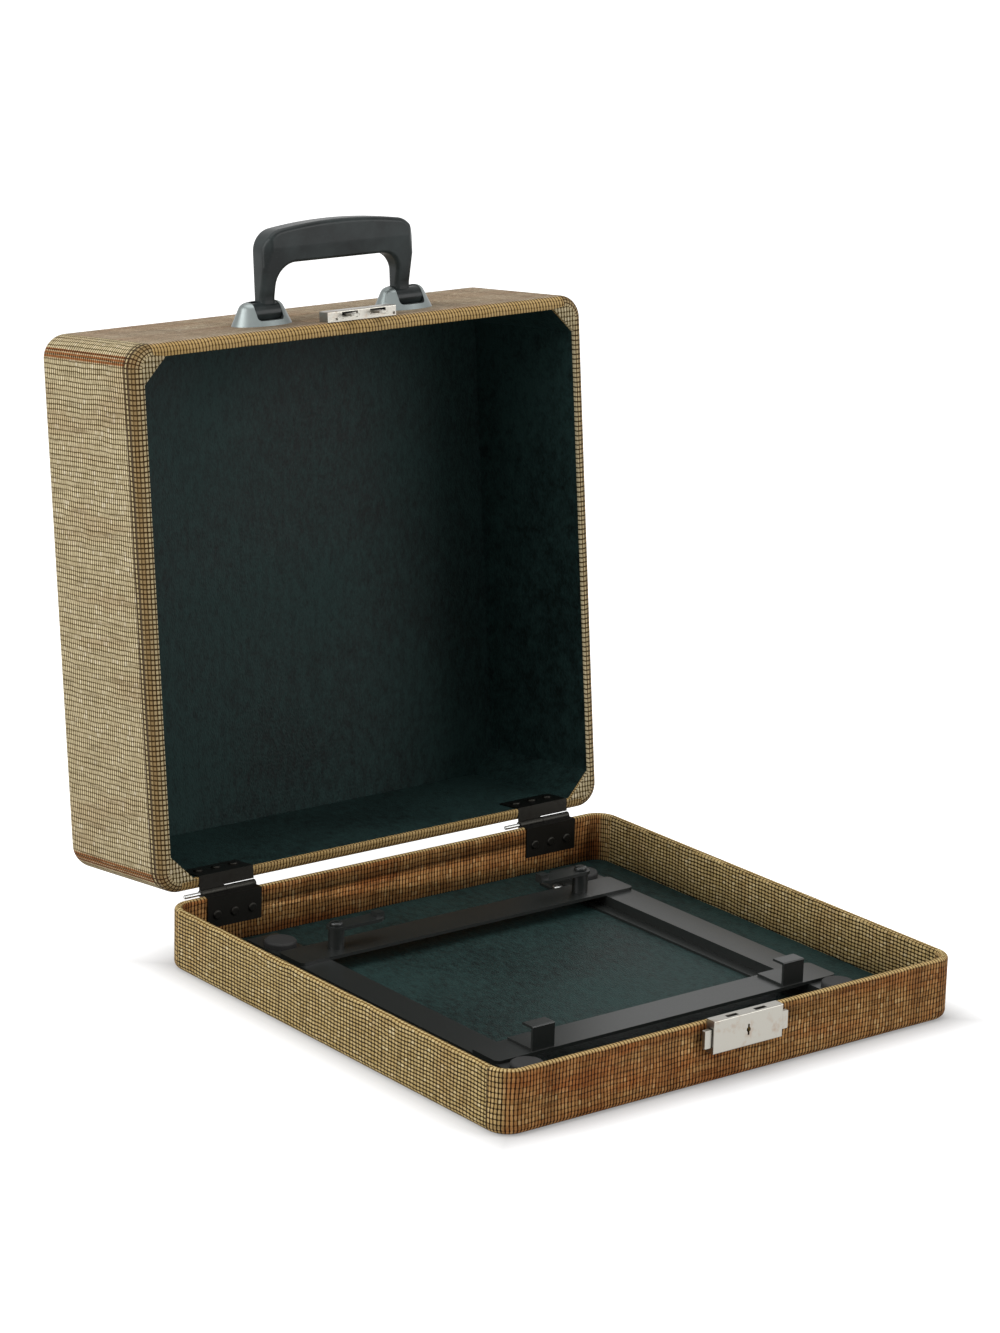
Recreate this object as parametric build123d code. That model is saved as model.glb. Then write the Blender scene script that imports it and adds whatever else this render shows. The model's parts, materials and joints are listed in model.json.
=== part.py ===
from build123d import *
import math
import os

# Portable typewriter case: a shallow base tray and a deep hinged lid, covered in cloth.
# Origin: centre of the tray's underside. +X to the right, +Y to the rear, +Z up. Millimetres.
# The lid's pieces are made where they lie with the case closed, then swung open on the hinge axis.

# Case, over the cloth
case_width = 343.0
case_depth = 337.0
base_height = 39.0
lid_height = 111.0
rim_gap = 0.6              # between the two rims when closed
open_angle = 96.0          # from closed to the hinges' stops
corner_radius = 15.0       # upright corners

# Sheet goods
cloth = 0.8
lining = 0.8
base_wall_board = 3.4
base_board_thickness = 6.0
lid_wall_board = 6.2
lid_panel_thickness = 4.0
seat_clearance = 0.05      # round a rivet, screw or stud in its hole

# Edges
base_edge_radius = 5.0     # round the tray's underside
base_rim_radius = 2.2      # both sides of the tray's rim
lid_edge_radius = 13.0     # round the lid's panel
lid_rim_radius = 6.4       # outside of the lid's rim
corner_block = 16.0        # legs of the lid's triangular corner blocks
cloth_turn_in = 2.5        # cloth that shows inside the lid's rim
bottom_margin = 9.0        # cloth turned under the tray

# Hinges
hinge_inset = 47.5         # from the case's side to the middle of each leaf
leaf_width = 40.0
leaf_thickness = 0.8
leaf_drop = 20.0           # down the inside of the wall
barrel_radius = 2.4
barrel_clearance = 0.2     # between barrel and cloth
hinge_pin_radius = 1.3
running_clearance = 0.05   # pins in barrels and cheeks
knuckle_gap = 0.3
lid_knuckle = 18.0         # length of the lid leaf's knuckle
pin_tip = 12.0             # bare pin beyond the lid's knuckle
lug_height = 2.0           # hinge stops, over the barrel
lug_thickness = 1.8
lug_length = 2.8
lug_root = 0.5             # sunk into the knuckle
lug_play = 1.5             # degrees between the lugs with the lid open
lug_closed_angle = 60.0    # of the lid's lug, from +Y, with the lid closed
hinge_rivet_pitch = 13.0
hinge_rivet_drop = 12.0    # below the rim, or above it on the lid
hole_overrun = 1.0         # of a cutter beyond the face it cuts
hole_reach = 10.0          # of a cutter into a wall, past its inside

# Rivets
rivet_radius = 1.5
rivet_head_radius = 3.0
rivet_head = 1.1
flat_head = 1.2            # heads let into a board or set behind the catch

# Lock on the front of the tray
lock_width = 52.0
lock_height = 20.0
lock_depth = 7.0
lock_sheet = 0.9
lock_above_rim = 2.0
lock_edge_radius = 0.6
catch_thickness = 1.2
catch_stand_off = 3.4      # from the tray's front to the catch
catch_travel = 3.0
catch_play = 0.3
thumb_reach = 5.3          # of the catch beyond the lock's ends
thumb_height = 11.0
thumb_thickness = 2.6
thumb_below_top = 5.2      # top of the thumb pieces, from the lock's top
catch_body_height = 8.2
thumb_corner_radius = 0.7
thumb_gap = 0.5            # between a thumb piece and the lock's end
catch_post_width = 2.5     # beside each hook, carrying its tooth
catch_post_gap = 0.5
catch_post_over = 0.4      # above the hook's notch
hook_spacing = 21.2
hook_width = 6.0
hook_thickness = 1.5
hook_notch_depth = 2.0
hook_notch_height = 2.2
hook_nose = 2.3
hook_nose_chamfer = 1.2
hook_lift = 1.5            # of the hooks' tips over the catch's strip
hook_slot_width = 8.5
hook_slot_depth = 3.0
keyhole_radius = 1.5
keyhole_height = 6.7
keyhole_width = 1.3
key_barrel_radius = 2.6
key_barrel_gap = 0.2       # at both ends of the barrel
key_slot_depth = 2.0
key_slot_over = 0.6        # beyond the keyhole's round part
lock_rivet_inset = 7.0     # from the lock's ends
spring_wire = 0.5
spring_radius = 1.5
spring_turns = 7
spring_length = 6.0
spring_x = 5.8             # its end that moves with the catch
spring_window = 4.2        # height of its window in the catch
abutment = 1.0             # thickness of the fixed tab at its other end

# Hasp on the lid's front wall
hasp_above_rim = 4.0
hasp_depth = 9.0
hasp_height = 6.6
hasp_rivet_inset = 5.5     # from the cover's ends
hasp_foot = 7.5            # inward feet at the cover's ends
hasp_edge_radius = 0.8
hasp_play = 0.2            # round the hook plate
hasp_window_width = 12.0   # of the openings that the hooks come out of
hasp_window_shift = 1.5    # from the hook's middle, away from its notch
hasp_window_low = 1.7      # over the wall
hasp_relief_height = 1.5   # of the gaps over the feet
hasp_head_radius = 2.7
hasp_head = 0.9

# Handle
handle_setback = 33.0      # pivot line behind the rim
handle_spacing = 108.0     # between the rolls' centres
handle_width = 114.0
handle_height = 61.5       # over the lid's front wall
handle_crown = 5.0
handle_bar = 24.5
bar_front = 11.4           # ahead of the pivot
bar_back = 5.6
leg_width = 11.0
leg_front = 3.5
leg_back = 6.3
leg_taper_start = 16.0     # over the wall, where the front starts to come forward
leg_taper_end = 15.5       # below the grip's top, where it has reached the bar's front
leg_bend_radius = 12.0
handle_facet = 4.6         # across the chamfered front corners
handle_outer_radius = 14.0
handle_inner_radius = 13.0
handle_edge_radius = 3.0
roll_radius = 6.3
roll_width = 18.6
roll_clearance = 0.4
pivot_height = 7.2
handle_pin_radius = 1.8
handle_pin_length = 27.0
handle_play = 0.3

# Saddles
saddle_width = 41.0
saddle_depth = 29.4
saddle_height = 14.2
saddle_shift = 2.4         # of the dome's middle, behind the pivot
saddle_taper = 25.0        # degrees
saddle_crown_radius = 6.0
saddle_lip = 3.2           # of the front, below the roll
saddle_lip_radius = 2.4    # in the slot's lower corners
saddle_stud_offset = 14.2
saddle_stud_radius = 2.0
saddle_stud_head = 4.4
saddle_stud_depth = 4.5

# Rubber studs on the rear, for standing the case upright
stud_radius = 7.5
stud_height = 7.0
stud_stem = 2.5
stud_depth = 4.0           # of the stem into the wall
stud_rounding = 1.6
stud_taper = 9.0           # degrees
stud_inset = 87.5          # from the case's side
base_stud_z = 18.0
lid_stud_from_top = 26.0

# Cradle in the tray
rail_inset = 53.5          # from the case's side to the middle of each rail
rail_width = 22.0
rail_flange = 8.0
rail_height = 8.0
rail_sheet = 1.5
rail_end_gap = 26.5        # from the case's front and rear to the rails' ends
strap_width = 25.0
strap_sheet = 2.0
strap_inset = 46.0         # from the rails' ends to the middle of each strap
pad_radius = 10.0
pad_height = 4.0
pad_inset = 20.0           # from the rails' ends
pad_edge_radius = 1.5
strap_corner_radius = 3.0
screw_inset = 14.0         # from the rails' ends
screw_slot_width = 0.9
screw_slot_depth = 0.6
screw_floor = 1.0          # of board left under the screws' points
screw_radius = 1.8
screw_head_radius = 3.4
screw_head = 1.6
catch_hook_height = 15.0
catch_hook_width = 16.0
catch_hook_reach = 10.0
catch_foot_inset = 1.0     # from the strap's edges
clip_length = 40.0
clip_width = 12.0
clip_sheet = 2.0
clip_post_radius = 5.0
clip_post_height = 12.0
clip_screw_radius = 2.0
clip_head = 2.0
clip_head_radius = 4.0
clip_slot_width = 1.0
clip_slot_depth = 0.7
clip_finger = 5.0          # height of the raised end
clip_play = 0.3

# Places that follow from the sizes above
half_width = case_width / 2
half_depth = case_depth / 2
base_wall = base_wall_board + 2 * cloth
lid_wall = lid_wall_board + cloth + lining
board_top = cloth + base_board_thickness
floor_top = board_top + lining
lid_rim = base_height + rim_gap
lid_top = lid_rim + lid_height
hinge_y = half_depth + barrel_radius + barrel_clearance
hinge_z = base_height + rim_gap / 2
hinge_x = half_width - hinge_inset
stud_x = half_width - stud_inset
rail_x = half_width - rail_inset
rail_length = case_depth - 2 * rail_end_gap
strap_y = rail_length / 2 - strap_inset
pad_y = rail_length / 2 - pad_inset
lock_top = base_height + lock_above_rim
lock_bottom = lock_top - lock_height
lock_middle = lock_top - lock_height / 2
thumb_top = lock_top - thumb_below_top
thumb_bottom = thumb_top - thumb_height
catch_y = -half_depth - catch_stand_off - catch_thickness / 2
lock_rivet_x = lock_width / 2 - lock_rivet_inset
hasp_rivet_x = lock_width / 2 - hasp_rivet_inset
hasp_bottom = lid_rim + hasp_above_rim
hook_tip = thumb_bottom + catch_body_height + hook_lift
notch_bottom = hook_tip + hook_nose
saddle_x = handle_spacing / 2
pivot_y = -half_depth - pivot_height
pivot_z = lid_rim + handle_setback
rail_top = floor_top + rail_height
strap_top = rail_top + strap_sheet
post_top = strap_top + clip_post_height
fitting_x = rail_x - rail_width / 2 - clip_width

os.makedirs("parts", exist_ok=True)


def save(shape, name):
    export_step(shape, f"parts/{name}.step")


def block(x0, x1, y0, y1, z0, z1):
    """A box between two corners."""
    middle = Pos((x0 + x1) / 2, (y0 + y1) / 2, (z0 + z1) / 2)
    return middle * Box(x1 - x0, y1 - y0, z1 - z0)


def slab(width, depth, radius, z0, z1):
    """An upright block with rounded corners, centred on the origin in plan."""
    return Pos(0, 0, z0) * extrude(RectangleRounded(width, depth, radius), z1 - z0)


def octagon(width, depth, leg, z0, z1):
    """An upright block with clipped corners."""
    plan = Rectangle(width, depth)
    return Pos(0, 0, z0) * extrude(chamfer(plan.vertices(), leg), z1 - z0)


def rod_x(radius, x0, x1, y, z):
    return Pos((x0 + x1) / 2, y, z) * Rot(0, 90, 0) * Cylinder(radius, x1 - x0)


def rod_y(radius, x, y0, y1, z):
    return Pos(x, (y0 + y1) / 2, z) * Rot(90, 0, 0) * Cylinder(radius, y1 - y0)


def rod_z(radius, x, y, z0, z1):
    return Pos(x, y, (z0 + z1) / 2) * Cylinder(radius, z1 - z0)


def opened(shape):
    """Swings a piece of the closed lid back onto the hinges' stops."""
    return Pos(0, hinge_y, hinge_z) * Rot(-open_angle, 0, 0) * Pos(0, -hinge_y, -hinge_z) * shape


def edges_at(shape, z):
    """The edges that lie in one level plane."""
    return shape.edges().filter_by_position(Axis.Z, z - 0.01, z + 0.01)


def place_of(piece):
    """A sorting key for like solids: left to right, front to rear, low to high."""
    return [round(distance, 2) for distance in piece.center()]


def solids(*shapes):
    """One node made of separate solids, in the order of their places."""
    pieces = [piece for shape in shapes for piece in shape.solids()]
    return Compound(children=sorted(pieces, key=place_of))


def dome_y(radius, height, x, y, z, way):
    """A low rivet head on a wall, standing out along way (+1 or -1) in Y."""
    tip = y + way * height
    head = rod_y(radius, x, min(y, tip), max(y, tip), z)
    crown = head.edges().filter_by_position(Axis.Y, tip - 0.01, tip + 0.01)
    return fillet(crown, height * 0.8)


def rivet_y(x, z, y_inside, y_outside):
    """A rivet through a wall, with a low head on each side."""
    low, high = sorted((y_inside, y_outside))
    shank = rod_y(rivet_radius, x, low, high, z)
    return (shank + dome_y(rivet_head_radius, rivet_head, x, low, z, -1)
            + dome_y(rivet_head_radius, rivet_head, x, high, z, 1))


def rivet_hole_y(x, z, y_from, y_to, radius=rivet_radius):
    return rod_y(radius + seat_clearance, x, min(y_from, y_to), max(y_from, y_to), z)


# Hinges

leaf_left_edges = [-hinge_x - leaf_width / 2, hinge_x - leaf_width / 2]
base_rivet_z = base_height - hinge_rivet_drop
lid_rivet_z = lid_rim + hinge_rivet_drop


def hinge_rivet_places():
    middles = [edge + leaf_width / 2 for edge in leaf_left_edges]
    return [middle + side * hinge_rivet_pitch for middle in middles for side in (-1, 0, 1)]


def stop_lug(x0, x1, root, angle):
    """A lug from a root radius out over the knuckles, at an angle from +Y about the hinge axis."""
    lug = block(x0, x1, root, barrel_radius + lug_height, -lug_thickness / 2, lug_thickness / 2)
    return Pos(0, hinge_y, hinge_z) * Rot(angle, 0, 0) * lug


def base_lug_angle():
    """Where the tray's lug meets the lid's with the lid open."""
    spread = 2 * math.degrees(math.asin(lug_thickness / 2 / (barrel_radius + barrel_clearance)))
    return lug_closed_angle - open_angle - spread - lug_play


def lid_leaf(left):
    """The lid's leaf: knuckle at its left end, strap over the rim, plate in the wall, stop lug."""
    right = left + leaf_width
    inner = half_depth - lid_wall
    seam = left + lid_knuckle
    edge = half_depth - barrel_clearance
    plate = block(left, right, inner - leaf_thickness, inner, lid_rim, lid_rim + leaf_drop)
    strap = block(left, right, inner - leaf_thickness, edge, lid_rim, lid_rim + leaf_thickness)
    tab = block(left, seam, edge, hinge_y, lid_rim, lid_rim + leaf_thickness)
    knuckle = rod_x(barrel_radius, left, seam, hinge_y, hinge_z)
    lug = stop_lug(seam - lug_length, seam, barrel_radius - lug_root, lug_closed_angle)
    reach = stop_lug(seam - lug_length, seam + knuckle_gap + lug_length, barrel_radius + barrel_clearance,
                     lug_closed_angle)
    bore = rod_x(hinge_pin_radius + running_clearance, left - 1, seam + 1, hinge_y, hinge_z)
    leaf = plate + strap + tab + knuckle + lug + reach - bore
    for side in (-1, 0, 1):
        x = left + leaf_width / 2 + side * hinge_rivet_pitch
        leaf -= rivet_hole_y(x, lid_rivet_z, inner - 2, inner + 1)
    return leaf


def base_leaf(left):
    """The tray's leaf: knuckle at its right end, strap over the rim, plate inside the wall, stop lug."""
    right = left + leaf_width
    inner = half_depth - base_wall
    seam = left + lid_knuckle + knuckle_gap
    edge = half_depth - barrel_clearance
    plate = block(left, right, inner - leaf_thickness, inner, base_height - leaf_drop, base_height)
    strap = block(left, right, inner - leaf_thickness, edge, base_height - leaf_thickness, base_height)
    tab = block(seam, right, edge, hinge_y, base_height - leaf_thickness, base_height)
    knuckle = rod_x(barrel_radius, seam, right, hinge_y, hinge_z)
    lug = stop_lug(seam, seam + lug_length, barrel_radius - lug_root, base_lug_angle())
    bore = rod_x(hinge_pin_radius, seam - 1, right + 1, hinge_y, hinge_z)
    leaf = plate + strap + tab + knuckle + lug - bore
    for side in (-1, 0, 1):
        x = left + leaf_width / 2 + side * hinge_rivet_pitch
        leaf -= rivet_hole_y(x, base_rivet_z, inner - 2, inner + 1)
    return leaf


def hinge_pin(left):
    """Fixed in the tray's knuckle. The lid's knuckle turns on it, and its tip stands out beyond."""
    pin = rod_x(hinge_pin_radius, left - pin_tip, left + leaf_width, hinge_y, hinge_z)
    tip = pin.edges().filter_by_position(Axis.X, left - pin_tip - 0.01, left - pin_tip + 0.01)
    return fillet(tip, hinge_pin_radius * 0.6)


def hinge_parts():
    base_leaves = [base_leaf(left) for left in leaf_left_edges]
    lid_leaves = [lid_leaf(left) for left in leaf_left_edges]
    for side, leaf in zip(("left", "right"), base_leaves):
        save(leaf, f"hinge_base_leaf_{side}")
    for side, leaf in zip(("left", "right"), lid_leaves):
        save(opened(leaf), f"hinge_lid_leaf_{side}")
    save(solids(*[hinge_pin(left) for left in leaf_left_edges]), "hinge_pins")
    base_inside = half_depth - base_wall - leaf_thickness
    lid_inside = half_depth - lid_wall - leaf_thickness
    save(solids(*[rivet_y(x, base_rivet_z, base_inside, half_depth) for x in hinge_rivet_places()]),
         "hinge_base_rivets")
    save(opened(solids(*[rivet_y(x, lid_rivet_z, lid_inside, half_depth) for x in hinge_rivet_places()])),
         "hinge_lid_rivets")
    return base_leaves, lid_leaves


# Base tray

def base_holes():
    """What passes through the tray's walls."""
    cuts = [rivet_hole_y(x, base_rivet_z, half_depth - hole_reach,
                         half_depth + hole_overrun) for x in hinge_rivet_places()]
    cuts += [rivet_hole_y(side * lock_rivet_x, lock_middle, -half_depth - hole_overrun,
                          -half_depth + hole_reach)
             for side in (-1, 1)]
    cuts += [rod_y(stud_stem + seat_clearance, side * stud_x, half_depth - stud_depth,
                   half_depth + 1, base_stud_z) for side in (-1, 1)]
    return cuts


def base_wood(radius_margin):
    """The tray's board and frame in one, for cutting the cloth round them."""
    body = slab(case_width - 2 * cloth, case_depth - 2 * cloth, corner_radius - cloth, cloth,
                base_height - cloth)
    room = slab(case_width - 2 * (cloth + base_wall_board), case_depth - 2 * (cloth + base_wall_board),
                corner_radius - cloth - base_wall_board, board_top, base_height)
    body = fillet(edges_at(body, cloth), base_edge_radius - cloth)
    body -= room
    return fillet(edges_at(body, base_height - cloth), radius_margin)


def base_shell():
    """The tray's whole outside, with the cloth on."""
    body = slab(case_width, case_depth, corner_radius, 0, base_height)
    body = fillet(edges_at(body, 0), base_edge_radius)
    body -= slab(case_width - 2 * base_wall, case_depth - 2 * base_wall, corner_radius - base_wall,
                 board_top, base_height + 1)
    return fillet(edges_at(body, base_height), base_rim_radius)


def base_parts(leaves):
    wood = base_wood(base_rim_radius - cloth)
    cutter = slab(case_width, case_depth, corner_radius, 0, board_top)
    frame = wood - cutter
    board = wood & cutter
    bottom = slab(case_width - 2 * bottom_margin, case_depth - 2 * bottom_margin,
                  corner_radius - bottom_margin, 0, cloth)
    covering = base_shell() - wood - bottom
    for cut in base_holes():
        frame -= cut
        covering -= cut
    for leaf in leaves:
        covering -= leaf
        frame -= leaf
    floor = slab(case_width - 2 * base_wall, case_depth - 2 * base_wall, corner_radius - base_wall,
                 board_top, floor_top)
    for x, y in cradle_screw_places():
        hole = rod_z(screw_radius + seat_clearance, x, y, cloth + screw_floor, floor_top + hole_overrun)
        board -= hole
        floor -= hole
    save(board, "base_board")
    save(frame, "base_frame")
    save(covering, "base_covering")
    save(floor, "base_floor_lining")
    save(bottom, "base_bottom_sheet")
    save(solids(*[rear_stud(side * stud_x, base_stud_z) for side in (-1, 1)]), "base_rear_studs")


def rear_stud(x, z):
    """A tapered rubber stud with a stem pressed into the wall."""
    end = half_depth + stud_height
    body = extrude(Circle(stud_radius), stud_height, taper=stud_taper)
    body = Pos(x, half_depth, z) * Rot(-90, 0, 0) * body
    rim = body.edges().filter_by_position(Axis.Y, end - 0.01, end + 0.01)
    return fillet(rim, stud_rounding) + rod_y(stud_stem, x, half_depth - stud_depth, half_depth, z)


# Cradle

def cradle_screw_places():
    reach = rail_length / 2 - screw_inset
    return [(side * (rail_x + way * (rail_width + rail_flange) / 2), y)
            for side in (-1, 1) for way in (-1, 1) for y in (-reach, reach)]


def cradle_rail(x):
    """A pressed hat rail: a raised top on two flanges."""
    y = rail_length / 2
    half = rail_width / 2
    full = half + rail_flange
    section = block(x - full, x + full, -y, y, floor_top, floor_top + rail_sheet)
    section += block(x - half, x + half, -y, y, floor_top, rail_top)
    section -= block(x - half + rail_sheet, x + half - rail_sheet, -y - 1, y + 1, floor_top - 1,
                     rail_top - rail_sheet)
    for sx, sy in cradle_screw_places():
        section -= rod_z(screw_radius + seat_clearance, sx, sy, floor_top - 1, floor_top + rail_sheet + 1)
    return section


def cradle_screw(x, y):
    seat = floor_top + rail_sheet
    head = rod_z(screw_head_radius, x, y, seat, seat + screw_head)
    head = fillet(edges_at(head, seat + screw_head), screw_head * 0.7)
    head -= Pos(x, y, seat + screw_head) * Box(2 * screw_head_radius, screw_slot_width, 2 * screw_slot_depth)
    return head + rod_z(screw_radius, x, y, cloth + screw_floor, seat)


def cradle_strap(y):
    reach = rail_x + rail_width / 2
    strap = block(-reach, reach, y - strap_width / 2, y + strap_width / 2, rail_top, strap_top)
    return fillet(strap.edges().filter_by(Axis.Z), strap_corner_radius)


def front_catch(x):
    """A bent strip on the front strap that the front bar of the load hooks under."""
    y = -strap_y - strap_width / 2 + catch_foot_inset
    half = catch_hook_width / 2
    top = strap_top + catch_hook_height
    foot = block(x - half, x + half, y, y + strap_width - 2 * catch_foot_inset, strap_top,
                 strap_top + rail_sheet)
    rise = block(x - half, x + half, y, y + rail_sheet, strap_top, top)
    lip = block(x - half, x + half, y, y + catch_hook_reach, top - rail_sheet, top)
    hook = foot + rise + lip
    return fillet(hook.edges().filter_by(Axis.X).sort_by(Axis.Z)[-2:], rail_sheet / 2)


def clip_post(x):
    """A post with a shouldered screw that the turn clip swings on."""
    post = rod_z(clip_post_radius, x, strap_y, strap_top, post_top)
    head_seat = post_top + clip_sheet + 2 * clip_play
    head_top = head_seat + clip_head
    screw = rod_z(clip_screw_radius, x, strap_y, post_top, head_seat)
    head = rod_z(clip_head_radius, x, strap_y, head_seat, head_top)
    head = fillet(edges_at(head, head_top), clip_head * 0.6)
    head -= Pos(x, strap_y, head_top) * Box(2 * clip_post_radius, clip_slot_width, 2 * clip_slot_depth)
    return post + screw + head


def turn_clip(x, way):
    """A flat clip with a raised finger end. way is the direction in X that it points."""
    bottom = post_top + clip_play
    length = clip_length - clip_width
    bar = Pos(x + way * length / 2, strap_y, bottom) * extrude(
        SlotOverall(clip_length, clip_width), clip_sheet)
    end_x = x + way * length
    end = block(min(end_x, end_x + way * clip_width / 2), max(end_x, end_x + way * clip_width / 2),
                strap_y - clip_width / 4, strap_y + clip_width / 4, bottom, bottom + clip_finger)
    bore = rod_z(clip_screw_radius + running_clearance, x, strap_y, bottom - 1, bottom + clip_sheet + 1)
    return bar + end - bore


def cradle_parts():
    save(cradle_rail(-rail_x), "cradle_rail_left")
    save(cradle_rail(rail_x), "cradle_rail_right")
    save(cradle_strap(-strap_y), "cradle_strap_front")
    save(cradle_strap(strap_y), "cradle_strap_rear")
    save(solids(*[cradle_screw(x, y) for x, y in cradle_screw_places()]), "cradle_screws")
    pads = []
    for x in (-rail_x, rail_x):
        for y in (-pad_y, pad_y):
            pad = rod_z(pad_radius, x, y, rail_top, rail_top + pad_height)
            pads.append(fillet(edges_at(pad, rail_top + pad_height), pad_edge_radius))
    save(solids(*pads), "cradle_pads")
    save(solids(front_catch(-fitting_x), front_catch(fitting_x)), "front_catches")
    save(solids(clip_post(-fitting_x), clip_post(fitting_x)), "clip_posts")
    save(turn_clip(-fitting_x, 1), "turn_clip_left")
    save(turn_clip(fitting_x, -1), "turn_clip_right")


# Lock

def hook_centres():
    return [-hook_spacing / 2, hook_spacing / 2]


def lock_case():
    """A folded sheet box, open towards the wall, with a keyhole, two hook slots and end slots."""
    front = -half_depth - lock_depth
    body = block(-lock_width / 2, lock_width / 2, front, -half_depth, lock_bottom, lock_top)
    body = fillet(body.faces().sort_by(Axis.Y)[0].edges(), lock_edge_radius)
    half = lock_width / 2 - lock_sheet
    room = block(-half, half, front + lock_sheet, -half_depth + 1, lock_bottom + lock_sheet,
                 lock_top - lock_sheet)
    body -= room
    for x in hook_centres():
        body -= block(x - hook_slot_width / 2, x + hook_slot_width / 2, catch_y - hook_slot_depth / 2,
                      catch_y + hook_slot_depth / 2, lock_top - 2, lock_top + 1)
    body -= block(-lock_width, lock_width, catch_y - thumb_thickness / 2 - catch_play,
                  catch_y + thumb_thickness / 2 + catch_play, thumb_bottom - catch_play,
                  thumb_top + catch_play)
    body -= rod_y(keyhole_radius, 0, front - 1, front + 2, lock_middle)
    body -= block(-keyhole_width / 2, keyhole_width / 2, front - 1, front + 2,
                  lock_middle - keyhole_height / 2, lock_middle + keyhole_height / 2)
    return body


def spring_middle():
    """Height of the spring, halfway up the catch's strip."""
    return thumb_bottom + catch_body_height / 2


def lock_back_plate():
    """Closes the case against the wall and carries the spring's fixed tab."""
    inset = lock_sheet + catch_play / 3
    plate = block(-lock_width / 2 + inset, lock_width / 2 - inset, -half_depth - lock_sheet, -half_depth,
                  lock_bottom + inset, lock_top - inset)
    for side in (-1, 1):
        plate -= rivet_hole_y(side * lock_rivet_x, lock_middle, -half_depth - 2, -half_depth + 1)
    tab_x = spring_x + spring_length
    half = spring_window / 2 - 2 * catch_play
    return plate + block(tab_x, tab_x + abutment, catch_y - catch_thickness, -half_depth - lock_sheet,
                         spring_middle() - half, spring_middle() + half)


def lock_rivet(x):
    """Flat head on the back plate, clear of the catch, and a low head inside the tray."""
    plate_face = -half_depth - lock_sheet
    wall_face = -half_depth + base_wall
    shank = rod_y(rivet_radius, x, plate_face, wall_face, lock_middle)
    flat = rod_y(rivet_head_radius, x, plate_face - flat_head, plate_face, lock_middle)
    return shank + flat + dome_y(rivet_head_radius, rivet_head, x, wall_face, lock_middle, 1)


def lock_catch():
    """The sliding catch: a strip with thumb pieces, two posts with teeth, and two windows."""
    half = lock_width / 2
    body = block(-half - thumb_reach, half + thumb_reach, catch_y - catch_thickness / 2,
                 catch_y + catch_thickness / 2, thumb_bottom, thumb_bottom + catch_body_height)
    notch_tooth = hook_notch_depth - catch_play
    for x in hook_centres():
        hook_side = x + hook_width / 2
        post_side = hook_side + catch_post_gap
        post_end = notch_bottom + hook_notch_height + catch_post_over
        post = block(post_side, post_side + catch_post_width, catch_y - catch_thickness / 2,
                     catch_y + catch_thickness / 2, thumb_bottom, post_end)
        tooth = block(hook_side - notch_tooth, post_side, catch_y - catch_thickness / 2,
                      catch_y + catch_thickness / 2, notch_bottom + catch_play,
                      notch_bottom + hook_notch_height - catch_play)
        body += post + tooth
    window = key_barrel_radius + catch_play
    body -= block(-window - catch_travel, window, catch_y - 2, catch_y + 2, lock_middle - window,
                  lock_middle + window)
    body -= block(spring_x - catch_play, spring_x + spring_length + abutment + catch_play, catch_y - 2,
                  catch_y + 2, spring_middle() - spring_window / 2, spring_middle() + spring_window / 2)
    for side in (-1, 1):
        inner = side * (half + thumb_gap)
        outer = side * (half + thumb_reach)
        thumb = block(min(inner, outer), max(inner, outer), catch_y - thumb_thickness / 2,
                      catch_y + thumb_thickness / 2, thumb_bottom, thumb_top)
        body += fillet(thumb.edges().filter_by(Axis.Y), thumb_corner_radius)
    return body


def key_barrel():
    """Turns behind the keyhole. Its slot takes the key."""
    front = -half_depth - lock_depth + lock_sheet + key_barrel_gap
    back = -half_depth - lock_sheet - key_barrel_gap
    body = rod_y(key_barrel_radius, 0, front, back, lock_middle)
    reach = keyhole_radius + key_slot_over
    slot = block(-keyhole_width / 2, keyhole_width / 2, front - hole_overrun, front + key_slot_depth,
                 lock_middle - reach, lock_middle + reach)
    return body - slot


def lock_spring():
    """Return spring of the catch, in the strip's window against the back plate's tab."""
    length = spring_length - spring_wire
    path = Helix(length / spring_turns, length, spring_radius)
    wire = sweep(Plane(origin=path @ 0, z_dir=path % 0) * Circle(spring_wire / 2), path, is_frenet=True)
    return Pos(spring_x + spring_wire / 2, catch_y, spring_middle()) * Rot(0, 90, 0) * wire


def lock_parts():
    save(lock_case(), "lock_case")
    save(lock_back_plate(), "lock_back_plate")
    save(solids(lock_rivet(-lock_rivet_x), lock_rivet(lock_rivet_x)), "lock_rivets")
    save(lock_catch(), "lock_catch")
    save(key_barrel(), "key_barrel")
    save(lock_spring(), "lock_spring")


# Lid

def lid_holes():
    """What passes through the lid's walls, with the lid closed."""
    cuts = [rivet_hole_y(x, lid_rivet_z, half_depth - hole_reach,
                         half_depth + hole_overrun) for x in hinge_rivet_places()]
    cuts += [hasp_rivet(side * hasp_rivet_x, seat_clearance) for side in (-1, 1)]
    cuts += [rod_y(stud_stem + seat_clearance, side * stud_x, half_depth - stud_depth,
                   half_depth + 1, lid_top - lid_stud_from_top) for side in (-1, 1)]
    cuts += [saddle_stud(x, seat_clearance) for x in saddle_stud_places()]
    return cuts


def lid_wood():
    """The lid's walls, panel and corner blocks in one, closed."""
    body = slab(case_width - 2 * cloth, case_depth - 2 * cloth, corner_radius - cloth, lid_rim + cloth,
                lid_top - cloth)
    body = fillet(edges_at(body, lid_top - cloth), lid_edge_radius - cloth)
    body = fillet(edges_at(body, lid_rim + cloth), lid_rim_radius - cloth)
    inset = cloth + lid_wall_board
    room = octagon(case_width - 2 * inset, case_depth - 2 * inset, corner_block, lid_rim,
                   lid_top - cloth - lid_panel_thickness)
    return body - room


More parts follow.
